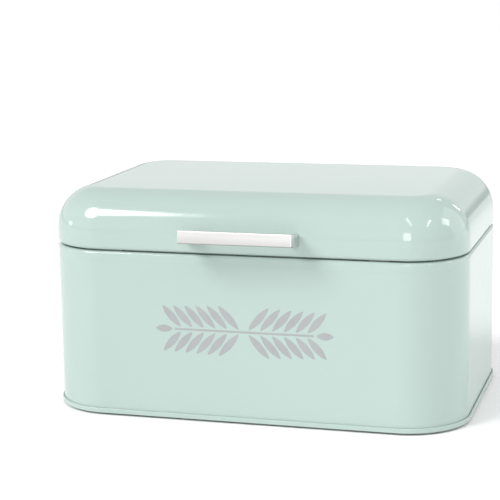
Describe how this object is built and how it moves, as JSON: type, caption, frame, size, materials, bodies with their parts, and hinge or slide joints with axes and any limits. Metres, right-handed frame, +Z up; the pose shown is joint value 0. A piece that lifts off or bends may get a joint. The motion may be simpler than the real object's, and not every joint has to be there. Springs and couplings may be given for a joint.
{
  "type": "bread bin",
  "caption": "Steel bread bin with rounded corners, a rear-hinged lid with a rounded edge and a bar handle, a seamed base rim and rubber feet.",
  "frame": {"origin": "on the resting plane, under the middle of the whole part's box", "axes": "+X along the width, to the right as seen from the handle's side; -Y is the front with the handle; +Z up"},
  "size_m": [0.3026, 0.2298, 0.16],
  "materials": {
    "mint_enamel": "gloss",
    "handle_aluminium": "satin",
    "hinge_steel": "satin",
    "screw_steel": "bright zinc plate",
    "washer_nylon": "natural nylon",
    "foot_rubber": "matt",
    "bumper_silicone": "matt, pale grey"
  },
  "bodies": {
    "bin": {"body_wall": "mint_enamel", "base_pan": "mint_enamel", "foot_front_left": "foot_rubber", "foot_front_right": "foot_rubber", "foot_back_left": "foot_rubber", "foot_back_right": "foot_rubber", "lid_bumper_left": "bumper_silicone", "lid_bumper_right": "bumper_silicone", "body_hinge_leaf_left": "hinge_steel", "body_hinge_leaf_right": "hinge_steel", "hinge_pin_left": "hinge_steel", "hinge_pin_right": "hinge_steel", "body_rivets_left": "hinge_steel", "body_rivets_right": "hinge_steel"},
    "lid": {"lid_shell": "mint_enamel", "lid_hinge_leaf_left": "hinge_steel", "lid_hinge_leaf_right": "hinge_steel", "lid_rivets_left": "hinge_steel", "lid_rivets_right": "hinge_steel", "handle_bar": "handle_aluminium", "handle_post_left": "handle_aluminium", "handle_post_right": "handle_aluminium", "handle_screw_left": "screw_steel", "handle_screw_right": "screw_steel", "handle_washer_left": "washer_nylon", "handle_washer_right": "washer_nylon"}
  },
  "joints": [
    {"name": "lid_hinge", "type": "hinge", "parent": "bin", "child": "lid", "pos_m": [0, 0.10887, 0.1195], "axis": [-1, 0, 0], "range_deg": [0, 100]}
  ]
}
